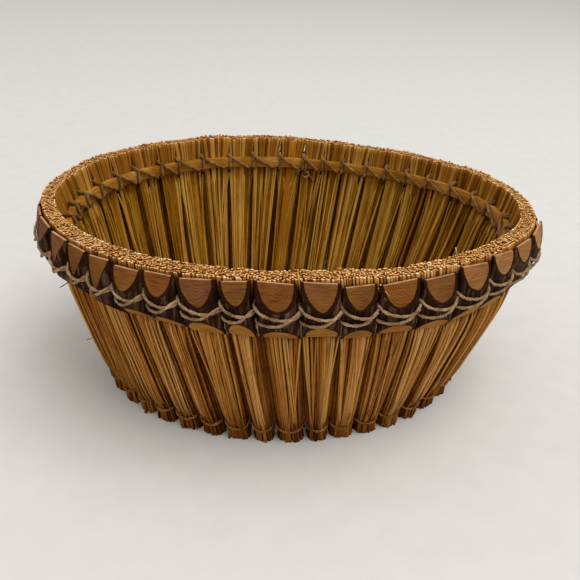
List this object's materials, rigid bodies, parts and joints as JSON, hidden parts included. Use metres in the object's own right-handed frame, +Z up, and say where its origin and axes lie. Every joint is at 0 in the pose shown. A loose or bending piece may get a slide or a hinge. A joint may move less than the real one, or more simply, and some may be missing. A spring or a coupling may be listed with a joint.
{
  "type": "oval basket",
  "caption": "Oval open basket with flared walls of bundled stalks, wood slips under the rim, lashed to a cane hoop, for bread, fruit or small things.",
  "frame": {"origin": "bottom centre of the box round the whole basket, on the surface it stands on", "axes": "+X along the oval's long axis, -Y towards the front of the pictured view, +Z up"},
  "size_m": [0.3064, 0.2412, 0.122],
  "materials": {
    "stalks": "bundled dry straight stalks, satin, cut ends pale",
    "wood_slip": "split twig with dark bark, slanting cut faces pale brown",
    "cane": "split cane strip, satin",
    "twine": "twisted two-ply plant-fibre twine, matt",
    "foot_cord": "twisted dark brown cord, matt",
    "matting": "plaited flat strips, satin"
  },
  "bodies": {
    "root": {"stalk_bundles_1": "stalks", "stalk_bundles_2": "stalks", "stalk_bundles_3": "stalks", "stalk_bundles_4": "stalks", "stalk_bundles_5": "stalks", "stalk_bundles_6": "stalks", "stalk_bundles_7": "stalks", "wood_slip_01": "wood_slip", "wood_slip_02": "wood_slip", "wood_slip_03": "wood_slip", "wood_slip_04": "wood_slip", "wood_slip_05": "wood_slip", "wood_slip_06": "wood_slip", "wood_slip_07": "wood_slip", "wood_slip_08": "wood_slip", "wood_slip_09": "wood_slip", "wood_slip_10": "wood_slip", "wood_slip_11": "wood_slip", "wood_slip_12": "wood_slip", "wood_slip_13": "wood_slip", "wood_slip_14": "wood_slip", "wood_slip_15": "wood_slip", "wood_slip_16": "wood_slip", "wood_slip_17": "wood_slip", "wood_slip_18": "wood_slip", "wood_slip_19": "wood_slip", "wood_slip_20": "wood_slip", "wood_slip_21": "wood_slip", "wood_slip_22": "wood_slip", "wood_slip_23": "wood_slip", "wood_slip_24": "wood_slip", "wood_slip_25": "wood_slip", "wood_slip_26": "wood_slip", "wood_slip_27": "wood_slip", "wood_slip_28": "wood_slip", "wood_slip_29": "wood_slip", "wood_slip_30": "wood_slip", "wood_slip_31": "wood_slip", "wood_slip_32": "wood_slip", "wood_slip_33": "wood_slip", "wood_slip_34": "wood_slip", "wood_slip_35": "wood_slip", "wood_slip_36": "wood_slip", "wood_slip_37": "wood_slip", "wood_slip_38": "wood_slip", "wood_slip_39": "wood_slip", "wood_slip_40": "wood_slip", "wood_slip_41": "wood_slip", "wood_slip_42": "wood_slip", "rim_hoop": "cane", "rim_lashing": "twine", "floor_hoop": "cane", "foot_lashing": "foot_cord", "floor_stay_1": "cane", "floor_stay_2": "cane", "floor_stay_3": "cane", "floor_mat": "matting"}
  },
  "joints": []
}
